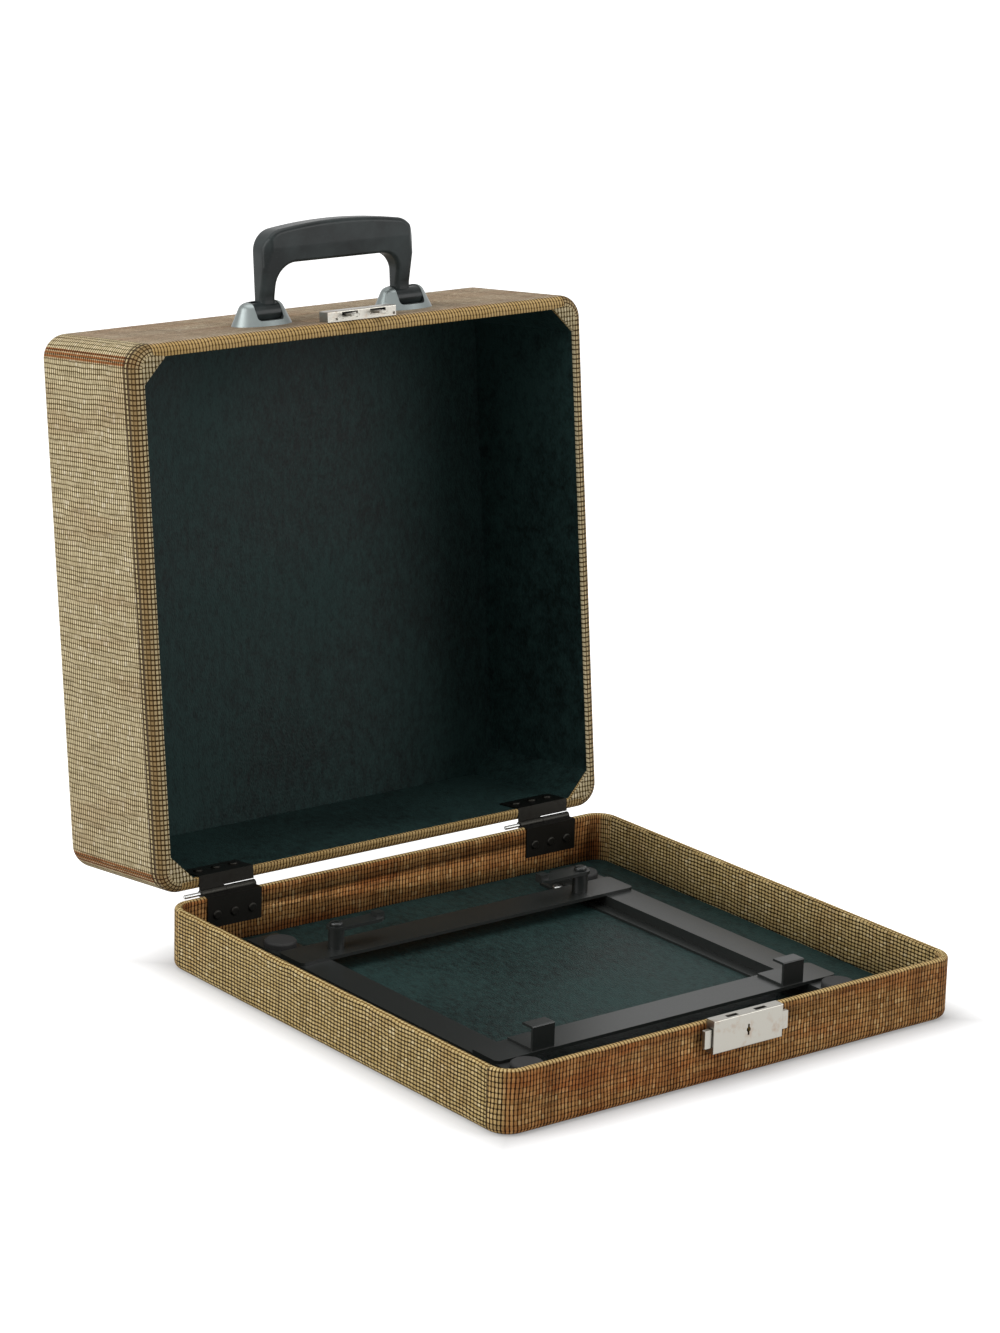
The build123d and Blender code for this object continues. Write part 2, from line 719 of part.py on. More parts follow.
def lid_parts(leaves):
    wood = lid_wood()
    inset = cloth + lid_wall_board
    inner_width = case_width - 2 * inset
    inner_depth = case_depth - 2 * inset
    panel_under = lid_top - cloth - lid_panel_thickness
    above = slab(case_width, case_depth, corner_radius, panel_under, lid_top)
    panel = wood & above
    walls = wood - above
    core = block(-inner_width / 2, inner_width / 2, -inner_depth / 2, inner_depth / 2, lid_rim, panel_under)
    corners = walls & core
    frame = walls - core
    covering = slab(case_width, case_depth, corner_radius, lid_rim, lid_top)
    covering = fillet(edges_at(covering, lid_top), lid_edge_radius)
    covering = fillet(edges_at(covering, lid_rim), lid_rim_radius)
    covering -= octagon(inner_width - 2 * cloth, inner_depth - 2 * cloth, corner_block, lid_rim - 1,
                        lid_rim + cloth_turn_in)
    covering -= octagon(inner_width, inner_depth, corner_block, lid_rim + cloth_turn_in, panel_under)
    covering -= wood
    band = octagon(inner_width, inner_depth, corner_block, lid_rim + cloth_turn_in, panel_under)
    band -= octagon(inner_width - 2 * lining, inner_depth - 2 * lining, corner_block, lid_rim,
                    panel_under + 1)
    back = octagon(inner_width - 2 * lining, inner_depth - 2 * lining, corner_block, panel_under - lining,
                   panel_under)
    for cut in lid_holes():
        frame -= cut
        covering -= cut
        band -= cut
    for leaf in leaves:
        covering -= leaf
        frame -= leaf
        band -= leaf
    save(opened(frame), "lid_frame")
    save(opened(panel), "lid_panel")
    save(opened(solids(corners)), "lid_corner_blocks")
    save(opened(covering), "lid_covering")
    save(opened(band), "lid_lining_band")
    save(opened(back), "lid_lining_panel")
    studs = [rear_stud(side * stud_x, lid_top - lid_stud_from_top) for side in (-1, 1)]
    save(opened(solids(*studs)), "lid_rear_studs")


# Hasp

def hasp_rivet_z():
    return hasp_bottom + hasp_depth / 2


def hasp_cover():
    """A folded cover on the lid's front wall: feet with relief gaps over them, and two hook openings."""
    half = lock_width / 2
    front = -half_depth - hasp_height
    top = hasp_bottom + hasp_depth
    below = hasp_bottom - hole_overrun
    above = hasp_bottom + lock_sheet + hole_overrun
    body = block(-half, half, front, -half_depth, hasp_bottom, top)
    body = fillet(body.faces().sort_by(Axis.Y)[0].edges(), hasp_edge_radius)
    body -= block(-half + lock_sheet, half - lock_sheet, front + lock_sheet, -half_depth + 1,
                  hasp_bottom + lock_sheet, top - lock_sheet)
    for side in (-1, 1):
        inner = side * (half - hasp_foot)
        foot = block(min(inner, side * half), max(inner, side * half), -half_depth - lock_sheet, -half_depth,
                     hasp_bottom, top)
        body += foot
        body -= rivet_hole_y(side * hasp_rivet_x, hasp_rivet_z(), -half_depth - 2, -half_depth + 1)
        end = side * (half - lock_sheet)
        body -= block(min(inner, end), max(inner, end), -half_depth - lock_sheet - hasp_relief_height,
                      -half_depth - lock_sheet, below, above)
    for x in hook_centres():
        left = x - hasp_window_width / 2 + hasp_window_shift
        body -= block(left, left + hasp_window_width, front + lock_sheet, -half_depth - hasp_window_low,
                      below, above)
    return body


def hasp_hooks():
    """A stepped plate inside the cover, with two hooks that reach down into the lock."""
    half = lock_width / 2 - lock_sheet - hasp_play
    low = hasp_bottom + lock_sheet + hasp_play
    high = hasp_bottom + hasp_depth - lock_sheet - hasp_play
    foot_face = -half_depth - lock_sheet
    plate = block(-half, half, foot_face - hook_thickness, foot_face, low, high)
    hook_front = catch_y - hook_thickness / 2
    reach = hook_spacing / 2 + hook_width / 2
    plate += block(-reach, reach, hook_front, foot_face, high - hook_thickness, high)
    plate += block(-reach, reach, hook_front, hook_front + hook_thickness, low, high)
    for x in hook_centres():
        left = x - hook_width / 2
        right = x + hook_width / 2
        hook = block(left, right, hook_front, hook_front + hook_thickness, hook_tip, low + 1)
        corners = edges_at(hook, hook_tip).filter_by(Axis.Y)
        hook = chamfer(corners, hook_nose_chamfer)
        hook -= block(right - hook_notch_depth, right + 1, hook_front - 1, hook_front + hook_thickness + 1,
                      notch_bottom, notch_bottom + hook_notch_height)
        plate += hook
    for side in (-1, 1):
        plate -= rivet_hole_y(side * hasp_rivet_x, hasp_rivet_z(), foot_face - hook_thickness - 1,
                              foot_face + 1)
    return plate


def hasp_rivet(x, clearance=0.0):
    """Low head on the hook plate and a flat head let into the board under the lining."""
    plate_face = -half_depth - lock_sheet - hook_thickness
    board_face = -half_depth + cloth + lid_wall_board
    shank = rod_y(rivet_radius + clearance, x, plate_face, board_face, hasp_rivet_z())
    inside = rod_y(rivet_head_radius + clearance, x, board_face - flat_head, board_face, hasp_rivet_z())
    outside = dome_y(hasp_head_radius, hasp_head, x, plate_face, hasp_rivet_z(), -1)
    return shank + inside + outside


def hasp_parts():
    save(opened(hasp_cover()), "hasp_cover")
    save(opened(hasp_hooks()), "hasp_hooks")
    save(opened(solids(hasp_rivet(-hasp_rivet_x), hasp_rivet(hasp_rivet_x))), "hasp_rivets")


# Handle

def across_front(sketch, length, x):
    """Extrudes along X a profile drawn as (height over the wall, distance behind the pivot)."""
    plane = Plane(origin=(x + length / 2, -half_depth, pivot_z), x_dir=(0, -1, 0), z_dir=(-1, 0, 0))
    return extrude(plane * sketch, length)


def up_front(sketch, ahead, behind):
    """Extrudes a profile drawn as (x, height over the wall), from ahead of the pivot to behind it."""
    plane = Plane(origin=(0, -half_depth, pivot_z + behind), x_dir=(1, 0, 0), z_dir=(0, 0, -1))
    return extrude(plane * sketch, ahead + behind)


def out_front(sketch, low, high, taper=0):
    """Extrudes a profile drawn as (x, distance behind the pivot) between two heights over the wall."""
    plane = Plane(origin=(0, -half_depth - low, pivot_z), x_dir=(1, 0, 0), z_dir=(0, -1, 0))
    return extrude(plane * sketch, high - low, taper=taper)


def on_pivot(radius, x0, x1):
    return rod_x(radius, x0, x1, pivot_y, pivot_z)


def grip_outline():
    """The grip seen from the front: two legs under an arched bar."""
    outer = handle_width / 2
    inner = outer - leg_width
    shoulder = handle_height - handle_crown
    under = handle_height - handle_bar
    crown = ThreePointArc((-outer, shoulder), (0, handle_height), (outer, shoulder))
    rest = Polyline((outer, shoulder), (outer, pivot_height), (inner, pivot_height), (inner, under),
                    (-inner, under), (-inner, pivot_height), (-outer, pivot_height), (-outer, shoulder))
    outline = make_face([crown, rest])
    outline = fillet(outline.vertices().filter_by_position(Axis.Y, shoulder - 0.1, shoulder + 0.1),
                     handle_outer_radius)
    return fillet(outline.vertices().filter_by_position(Axis.Y, under - 0.1, under + 0.1),
                  handle_inner_radius)


def grip_side():
    """The grip seen from its end: a nearly straight back, and a front that comes forward to the bar."""
    top = handle_height + hole_overrun
    full = handle_height - leg_taper_end
    points = [(pivot_height, -leg_front), (leg_taper_start, -leg_front), (full, -bar_front),
              (top, -bar_front), (top, bar_back), (pivot_height, leg_back)]
    side = make_face(Polyline(*points, points[0]))
    bends = side.vertices().filter_by_position(Axis.X, leg_taper_start - 0.1, full + 0.1)
    return fillet(bends, leg_bend_radius)


def grip_plan():
    """The grip seen from over the bar, with its front corners cut off."""
    outer = handle_width / 2
    back = leg_back + hole_overrun
    points = [(-outer, back), (-outer, handle_facet - bar_front), (handle_facet - outer, -bar_front),
              (outer - handle_facet, -bar_front), (outer, handle_facet - bar_front), (outer, back)]
    return make_face(Polyline(*points, points[0]))


def handle_grip():
    """A moulded grip on two legs, each with a roll at its foot that turns in a saddle."""
    grip = up_front(grip_outline(), bar_front, leg_back + hole_overrun)
    grip &= across_front(grip_side(), handle_width + 2 * hole_overrun, 0)
    grip &= out_front(grip_plan(), 0, handle_height + hole_overrun)
    feet = -half_depth - pivot_height
    grip = fillet(grip.edges().filter_by_position(Axis.Y, -half_depth - handle_height, feet - 0.01),
                  handle_edge_radius)
    for side in (-1, 1):
        x = side * saddle_x
        grip += on_pivot(roll_radius, x - roll_width / 2, x + roll_width / 2)
        grip -= on_pivot(handle_pin_radius + running_clearance, x - roll_width, x + roll_width)
    return grip


def saddle_stud_places():
    return [side * saddle_x + way * saddle_stud_offset for side in (-1, 1) for way in (-1, 1)]


def saddle_stud(x, clearance=0.0):
    """A stud from inside the lid's wall into a saddle's cheek. Its flat head is let into the board."""
    board_face = -half_depth + cloth + lid_wall_board
    shank = rod_y(saddle_stud_radius + clearance, x, -half_depth - saddle_stud_depth - clearance, board_face,
                  pivot_z)
    return shank + rod_y(saddle_stud_head + clearance, x, board_face - flat_head, board_face, pivot_z)


def saddle(x):
    """A die-cast saddle: an oval dome, slotted from the front for the leg and its roll."""
    plan = Pos(x, saddle_shift) * Ellipse(saddle_width / 2, saddle_depth / 2)
    body = out_front(plan, 0, saddle_height, taper=saddle_taper)
    top = saddle_depth / 2 - saddle_height * math.tan(math.radians(saddle_taper))
    body = fillet(body.faces().sort_by(Axis.Y)[0].edges(), min(saddle_crown_radius, 0.75 * top))
    half = roll_width / 2 + handle_play
    high = saddle_height + hole_overrun
    mouth = Pos(x, (high + saddle_lip) / 2) * Rectangle(2 * half, high - saddle_lip)
    corners = mouth.vertices().filter_by_position(Axis.Y, saddle_lip - 0.1, saddle_lip + 0.1)
    body -= up_front(fillet(corners, saddle_lip_radius), saddle_depth, 0)
    body -= on_pivot(roll_radius + roll_clearance, x - half, x + half)
    body -= block(x - half, x + half, -half_depth - high, pivot_y, pivot_z - leg_front,
                  pivot_z + leg_back + handle_play)
    body -= on_pivot(handle_pin_radius, x - handle_pin_length / 2, x + handle_pin_length / 2)
    for way in (-1, 1):
        body -= saddle_stud(x + way * saddle_stud_offset, seat_clearance)
    return body


def handle_parts():
    save(opened(handle_grip()), "handle_grip")
    save(opened(saddle(-saddle_x)), "handle_saddle_left")
    save(opened(saddle(saddle_x)), "handle_saddle_right")
    half = handle_pin_length / 2
    pins = [on_pivot(handle_pin_radius, side * saddle_x - half, side * saddle_x + half) for side in (-1, 1)]
    save(opened(solids(*pins)), "handle_pins")
    save(opened(solids(*[saddle_stud(x) for x in saddle_stud_places()])), "saddle_studs")


if __name__ == "__main__":
    base_leaves, lid_leaves = hinge_parts()
    base_parts(base_leaves)
    cradle_parts()
    lock_parts()
    lid_parts(lid_leaves)
    hasp_parts()
    handle_parts()
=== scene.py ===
import bpy
import bmesh
import json
from math import atan2, cos, pi, radians, sin
from mathutils import Matrix, Vector


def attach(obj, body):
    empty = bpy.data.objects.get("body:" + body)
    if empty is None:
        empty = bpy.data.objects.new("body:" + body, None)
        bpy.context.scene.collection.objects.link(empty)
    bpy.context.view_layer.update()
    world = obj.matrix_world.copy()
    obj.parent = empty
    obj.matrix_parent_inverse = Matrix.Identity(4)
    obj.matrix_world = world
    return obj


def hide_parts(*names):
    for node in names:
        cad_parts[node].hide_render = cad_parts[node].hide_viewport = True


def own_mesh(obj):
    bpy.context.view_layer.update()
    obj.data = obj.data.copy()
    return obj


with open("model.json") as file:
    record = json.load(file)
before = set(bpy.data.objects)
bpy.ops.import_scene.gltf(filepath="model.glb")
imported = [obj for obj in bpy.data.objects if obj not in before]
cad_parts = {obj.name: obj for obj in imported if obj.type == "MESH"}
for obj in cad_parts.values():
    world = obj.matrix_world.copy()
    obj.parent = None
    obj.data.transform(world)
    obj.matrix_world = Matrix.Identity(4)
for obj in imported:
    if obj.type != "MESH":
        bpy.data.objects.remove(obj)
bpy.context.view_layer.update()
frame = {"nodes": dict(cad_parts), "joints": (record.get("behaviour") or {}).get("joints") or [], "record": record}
nodes = frame["nodes"]
joints = {joint["name"]: joint for joint in frame["joints"]}
mm = 0.001
print("frame loaded:", len(nodes), "nodes")


# Camera, at the photograph's place. Angles in radians.
cameraSet = {"place": (-1.43824, -1.77092, 0.85006), "yaw": 0.665, "pitch": -0.2766, "roll": 0.0274,
             "lens": 108.34, "sensor": 36.0, "nearest": 0.1, "furthest": 30}


def placeCamera():
    yaw, pitch, roll = cameraSet["yaw"], cameraSet["pitch"], cameraSet["roll"]
    ahead = Vector((sin(yaw) * cos(pitch), cos(yaw) * cos(pitch), sin(pitch)))
    right = ahead.cross(Vector((0, 0, 1))).normalized()
    up = right.cross(ahead)
    turnedRight = cos(roll) * right + sin(roll) * up
    turnedUp = cos(roll) * up - sin(roll) * right
    data = bpy.data.cameras.new("camera")
    data.sensor_width = cameraSet["sensor"]
    data.lens = cameraSet["lens"]
    data.clip_start, data.clip_end = cameraSet["nearest"], cameraSet["furthest"]
    camera = bpy.data.objects.new("camera", data)
    axes = Matrix((turnedRight, turnedUp, -ahead)).transposed()
    camera.matrix_world = Matrix.Translation(cameraSet["place"]) @ axes.to_4x4()
    bpy.context.scene.collection.objects.link(camera)
    bpy.context.scene.camera = camera


placeCamera()


# Colours and nodes, with the settings that many nodes share
smooth = {"interpolation_type": "SMOOTHSTEP"}
product = {"operation": "MULTIPLY"}
total = {"operation": "ADD"}
blend = {"data_type": "RGBA"}
tint = {"data_type": "RGBA", "blend_type": "MULTIPLY"}


def colour(text, alpha=1.0):
    # sRGB hex to linear
    parts = [int(text[i:i + 2], 16) / 255 for i in (1, 3, 5)]
    linear = [c / 12.92 if c <= 0.04045 else ((c + 0.055) / 1.055) ** 2.4 for c in parts]
    return (*linear, alpha)


def plug(tree, socket, value):
    # links a node's first output or a socket to an input, or else sets its value
    if isinstance(value, bpy.types.Node):
        value = next(s for s in value.outputs if s.enabled)
    if isinstance(value, bpy.types.NodeSocket):
        tree.links.new(value, socket)
    else:
        socket.default_value = value


def add(tree, kind, feeds=(), ramp=None, **settings):
    # adds a node: feeds are its inputs, by name or as a list in their order, the rest its settings
    node = tree.nodes.new("ShaderNode" + kind)
    for name, value in settings.items():
        setattr(node, name, value)
    if ramp:
        stops = node.color_ramp.elements
        while len(stops) < len(ramp):
            stops.new(0.5)
        for stop, (place, shade) in zip(stops, ramp):
            stop.position = place
            stop.color = colour(shade)
    sockets = [socket for socket in node.inputs if socket.enabled]
    if isinstance(feeds, dict):
        sockets = [next(s for s in sockets if s.name == name) for name in feeds]
        feeds = feeds.values()
    for socket, value in zip(sockets, feeds):
        plug(tree, socket, value)
    return node


def newMaterial(name):
    material = bpy.data.materials.new(name)
    material.use_nodes = True
    tree = material.node_tree
    tree.nodes.clear()
    shader = add(tree, "BsdfPrincipled")
    add(tree, "OutputMaterial", {"Surface": shader})
    return material, tree, shader


def feed(tree, node, **feeds):
    # links or sets more inputs of a node that is already there
    for name, value in feeds.items():
        plug(tree, node.inputs[name.replace("_", " ")], value)


# A piece made from a CAD node's skin: its triangles are merged, changed and shaded smooth
skin = {"mergeWithin": 1e-6, "sharpFrom": 45}                    # metres and degrees


def mergedCopy(nodeName):
    mesh = nodes[nodeName].data.copy()
    bm = bmesh.new()
    bm.from_mesh(mesh)
    bmesh.ops.remove_doubles(bm, verts=bm.verts, dist=skin["mergeWithin"])
    return mesh, bm


def pieceFrom(mesh, bm, pieceName):
    bm.to_mesh(mesh)
    bm.free()
    mesh.name = pieceName
    mesh.polygons.foreach_set("use_smooth", [True] * len(mesh.polygons))
    mesh.set_sharp_from_angle(angle=radians(skin["sharpFrom"]))
    piece = bpy.data.objects.new(pieceName, mesh)
    bpy.context.scene.collection.objects.link(piece)
    return piece


# Cloth over the boards, in mm. The same sheet goes over each piece, so its threads turn with the
# walls.
cloth = {
    "halfWidth": 171.5, "halfDepth": 168.5, "corner": 15.0,      # the case in plan
    "tray": {"height": 39.0, "edge": 5.0, "rim": 2.2, "wall": 5.0, "sideWraps": False},
    "lid": {"height": 111.0, "edge": 13.0, "rim": 6.4, "wall": 7.8, "sideWraps": True},
    "rimGap": 0.6,
    "turnInDepth": 0.85, "turnInDrop": 0.3,     # what lies this near the inner face is the turn-in
    "clipReach": 8.0, "clipLevel": 0.05,        # the clipped rim corners start this far from the round
    "clipRun": 43.0,                            # they take the cloth of this distance over the profile
    "flatWithin": 1.0,                          # of the closed face, where the cloth is flat
    "sideMark": 1.0, "flatMark": 0.5,           # kinds of wall, with 0 for the front and the rear
    "farFromSeam": 50.0,
    "threadAcross": 2.32, "threadAlong": 3.10,                   # spacing of the slubs
}


def closedPlace(point):
    # where a point of the open lid lies with the case closed, in mm
    hinge = joints["lid_hinge"]
    axis = Vector(hinge["pos_m"])
    turn = Matrix.Rotation(radians(hinge["range_deg"][1]), 3, "X")
    return (turn @ (point - axis) + axis) / mm


def alongProfile(inset, climb, form):
    # distance along the cloth from the closed face's edge, over the wall and rim, in mm
    edge, rim, wall, height = form["edge"], form["rim"], form["wall"], form["height"]
    if climb < edge and inset > edge:
        return edge - inset
    if climb < edge:
        return edge * atan2(edge - inset, edge - climb)
    wallEnd = height - rim
    upWall = edge * pi / 2 + min(climb, wallEnd) - edge
    if inset > wall - cloth["turnInDepth"] and climb < height - cloth["turnInDrop"]:
        return edge * pi / 2 + wallEnd - edge + rim * pi / 2 + wall - rim + height - climb
    if climb <= wallEnd:
        return upWall
    if inset < rim:
        return upWall + rim * atan2(climb - wallEnd, rim - inset)
    return upWall + rim * pi / 2 + inset - rim


def clothFromNode(nodeName, pieceName, form, place, climbOf):
    # three maps: threads lays the weave in mm, place holds the distance over the profile and the
    # mark of the wall's kind, seams the distance from a corner's seam and 1 where the front's cloth
    # overlaps the side's
    mesh, bm = mergedCopy(nodeName)
    threads = bm.loops.layers.uv.new("threads")
    placeMap = bm.loops.layers.uv.new("place")
    seams = bm.loops.layers.uv.new("seams")
    corner, clipReach = cloth["corner"], cloth["clipReach"]
    sideMark, flatMark = cloth["sideMark"], cloth["flatMark"]
    endX, endY = cloth["halfWidth"] - corner, cloth["halfDepth"] - corner

    def insetAndTurn(p):
        # how far inside the outline a point is, and its turn round the corner from the side wall
        outX, outY = abs(p.x) - endX, abs(p.y) - endY
        if outX > 0 and outY > 0:
            return corner - Vector((outX, outY)).length, atan2(outY, outX)
        return corner - max(outX, outY), 0 if outX > outY else pi / 2

    for face in bm.faces:
        middle = place(face.calc_center_median())
        inset, turn = insetAndTurn(middle)
        onCorner = abs(middle.x) > endX and abs(middle.y) > endY
        onSide = form["sideWraps"] if onCorner else turn == 0
        flat = climbOf(middle) < cloth["flatWithin"] and not onCorner and inset > form["edge"]
        # the clipped corner of the rim, where the cloth lies flat
        lowest = min(climbOf(place(vert.co)) for vert in face.verts)
        level = lowest > form["height"] - cloth["clipLevel"]
        clipped = level and abs(middle.x) > endX - clipReach and abs(middle.y) > endY - clipReach
        overlapped = middle.x < 0 and middle.y < 0
        for loop in face.loops:
            p = place(loop.vert.co)
            inset, turn = insetAndTurn(p)
            run = alongProfile(inset, climbOf(p), form)
            sideWays = abs(p.y) if abs(p.y) < endY else endY + corner * turn
            frontWays = abs(p.x) if abs(p.x) < endX else endX + corner * (pi / 2 - turn)
            seam = endX + corner * pi / 2 - frontWays
            if flat or clipped:
                loop[threads].uv = (p.x, p.y)
                loop[placeMap].uv = (cloth["clipRun"], sideMark) if clipped else (run, flatMark)
                seam = cloth["farFromSeam"]
            elif onSide:
                loop[threads].uv = (run, sideWays if p.y > 0 else -sideWays)
                loop[placeMap].uv = (run, sideMark)
                seam = endY - sideWays if form["sideWraps"] else cloth["farFromSeam"]
            else:
                loop[threads].uv = (frontWays if p.x > 0 else -frontWays, run)
                loop[placeMap].uv = (run, 0)
            loop[seams].uv = (seam, overlapped)
    return pieceFrom(mesh, bm, pieceName)


lidRim = cloth["tray"]["height"] + cloth["rimGap"]
lidTop = lidRim + cloth["lid"]["height"]
trayCloth = clothFromNode("base_covering", "tray_cloth", cloth["tray"], lambda p: p / mm, lambda q: q.z)
lidCloth = clothFromNode("lid_covering", "lid_cloth", cloth["lid"], closedPlace, lambda q: lidTop - q.z)
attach(trayCloth, "base")
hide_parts("base_covering")
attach(lidCloth, "lid")
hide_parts("lid_covering")
print("cloth:", len(trayCloth.data.polygons), len(lidCloth.data.polygons))


catchSpring = pieceFrom(*mergedCopy("lock_spring"), "catch_spring")
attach(catchSpring, "base")
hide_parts("lock_spring")
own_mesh(catchSpring)
print("spring made")


# Tweed: cream and gold slubs in rows on a rust and olive ground, under a thin matt coat, which
# gives a dotted lattice. The side walls are drawn cream and the front and rear rust: partly the
# two threads' own colours, and partly painted shade of the threads on one another, which differs
# with the wall's facing. The lid's side walls are paler, its front and rear greyer and paler by a
# painted sheen of the coat, and a few of its threads make stripes at the corners and round the rim.
tweedLooks = {
    "tray": {
        "sideSlubs": [(0.0, "#ad9562"), (0.9, "#c2ab79"), (1.0, "#d2bf92")],
        "sideGaps": [(0.0, "#1c1204"), (1.0, "#30220b")],
        "frontSlubs": [(0.0, "#aa7a46"), (0.9, "#c3965f"), (1.0, "#d2ac76")],
        "frontGaps": [(0.0, "#241206"), (1.0, "#3f2410")],
        "rowGap": "#221607", "rowWeak": 0.2, "frontRows": 0.6,
        "halfAcross": 0.34, "halfAlong": 0.42, "frontAlong": 0.51,      # of a thread's spacing
        "cornerPale": 0.75, "plaid": 0.65, "rust": "#dea277",
        "rimStart": 40.2, "rimEnd": 46.0, "rimShade": "#ccb681", "rimGap": "#6d5026",
        "overlapLine": 0.8,
    },
    "lid": {
        "sideSlubs": [(0.0, "#bcad89"), (0.9, "#cebf9b"), (1.0, "#dbceb0")],
        "sideGaps": [(0.0, "#38290a"), (1.0, "#4e3d1a")],
        # painted sheen: the lid's front and rear colours are greyer and paler than the tray's, for the coat's
        # sheen on the open lid's upturned front
        "frontSlubs": [(0.0, "#b4a38a"), (0.9, "#c6b59c"), (1.0, "#d3c6ad")],
        "frontGaps": [(0.0, "#54442f"), (1.0, "#6a5944")],
        "rowGap": "#463717", "rowWeak": 0.05, "frontRows": 0.7,
        "halfAcross": 0.35, "halfAlong": 0.45, "frontAlong": 0.5,
        "cornerPale": 0.0, "plaid": 0.35, "rust": "#d2a07c",
        "rimStart": 113.5, "rimEnd": 140.0, "rimShade": "#bd9c5c", "rimGap": "#4c3414",
    },
}
weavePatterns = {     # mm across and along, detail, and the noise's range with what it becomes
    "broken": {"size": (20.0, 3.125), "detail": 2.0, "range": (0.35, 0.65, 0.3, 1.0)},
    "streak": {"size": (33.3, 3.125), "detail": 2.0, "range": (0.55, 0.75, 0.0, 0.3)},
    "stripe": {"size": (11.1, 250.0), "detail": 1.0, "range": (0.42, 0.66, 0.0, 0.5)},
    "band": {"size": (250.0, 9.1), "detail": 1.0, "range": (0.42, 0.66, 0.0, 0.5)},
    "patch": {"size": (71.4, 22.2), "detail": 3.0, "range": (0.48, 0.68, 0.0, 0.55)},
}
weave = {
    "wander": 2.4, "wanderSize": 28.6, "raggedSize": 0.625, "slubHeight": 0.35,            # mm
    "ragged": 0.14, "rowLine": (0.33, 0.47),              # of a thread's spacing
    "square": 3.0, "slubEdge": (0.5, 1.6),                # a power of 2 would give an oval slub
    "paleCorner": (9.0, 14.0), "overlapLine": (1.3, 0.5),                # mm from a corner's seam
    "rimFadeIn": 1.6, "rimFadeOut": 1.0, "rimWorn": 0.75,                # mm, and the rim's weight
    "stripeShade": "#8a7458", "patchShade": "#c0946a", "sidePatch": 0.35, "overlapShade": "#1e160c",
    "bump": 0.5, "rough": 0.78, "shine": 0.1,
}
# Beside an upright corner of the lid, in mm from its seam
rustRows = {"first": -1.6, "last": -9.0, "fade": 0.6, "spacing": 1.1, "range": (0.15, 0.65, 0.3, 1.0),
            "shade": "#bd8560"}
rimLines = {"start": 107.6, "end": 124.6, "ground": "#2c1b08", "weight": 0.9,   # mm over the profile
            "bead": (0.25, 0.44),                                    # of a thread's spacing
            "shades": [(107.6, "#2c1b08"), (109.2, "#b3a27a"), (110.9, "#2c1b08"), (113.2, "#95805a"),
                       (114.8, "#3a260f"), (115.6, "#8c7550"), (117.2, "#3a260f"), (118.0, "#a8936d"),
                       (119.6, "#3a240c"), (120.4, "#c6b48c"), (122.0, "#4a3415"), (122.7, "#cfc09a")]}


def clothMaps(tree):
    uv = add(tree, "UVMap", uv_map="threads")
    place = add(tree, "SeparateXYZ", [add(tree, "UVMap", uv_map="place")]).outputs
    seams = add(tree, "SeparateXYZ", [add(tree, "UVMap", uv_map="seams")]).outputs
    return {"uv": uv, "run": place["X"], "side": place["Y"], "seam": seams["X"], "overlap": seams["Y"]}


def spreadPatterns(tree, uv):
    fields = {}
    for field, pattern in weavePatterns.items():
        across, along = pattern["size"]
        spread = add(tree, "VectorMath", [uv, (1 / across, 1 / along, 0)], **product)
        noise = add(tree, "TexNoise", {"Vector": spread, "Scale": 1.0, "Detail": pattern["detail"]},
                    noise_dimensions="2D")
        fields[field] = add(tree, "MapRange", [noise, *pattern["range"]], **smooth)
    return fields


def threadCells(tree, uv):
    # the threads wander a little, and each cell between them holds one slub. Gives the distance
    # from the slub's middle, with a ragged edge, and a random value for each slub, column and row
    drift = add(tree, "TexNoise", {"Vector": uv, "Scale": 1 / weave["wanderSize"], "Detail": 2.0},
                noise_dimensions="2D")
    middled = add(tree, "VectorMath", [drift.outputs["Color"], (0.5, 0.5, 0.5)], operation="SUBTRACT")
    driftMm = add(tree, "VectorMath", [middled, (weave["wander"], weave["wander"], 0)], **product)
    bent = add(tree, "VectorMath", [uv, driftMm], **total)
    perThread = (1 / cloth["threadAcross"], 1 / cloth["threadAlong"], 0)
    grid = add(tree, "VectorMath", [bent, perThread], **product)
    cell = add(tree, "VectorMath", [grid], operation="FLOOR")
    part = add(tree, "VectorMath", [grid], operation="FRACTION")
    centred = add(tree, "VectorMath", [part, (0.5, 0.5, 0)], operation="SUBTRACT")
    away = add(tree, "SeparateXYZ", [add(tree, "VectorMath", [centred], operation="ABSOLUTE")])
    ragged = add(tree, "TexNoise", {"Vector": bent, "Scale": 1 / weave["raggedSize"], "Detail": 3.0},
                 noise_dimensions="2D")
    raggedOff = add(tree, "Math", [ragged, weave["ragged"], -weave["ragged"] / 2],
                    operation="MULTIPLY_ADD")
    edges = {axis: add(tree, "Math", [away.outputs[axis], raggedOff], **total) for axis in "XY"}
    cellXY = add(tree, "SeparateXYZ", [cell]).outputs
    chance = {"slub": add(tree, "TexWhiteNoise", [cell], noise_dimensions="2D"),
              "column": add(tree, "TexWhiteNoise", [cellXY["X"]], noise_dimensions="1D"),
              "row": add(tree, "TexWhiteNoise", [cellXY["Y"]], noise_dimensions="1D")}
    return edges, chance


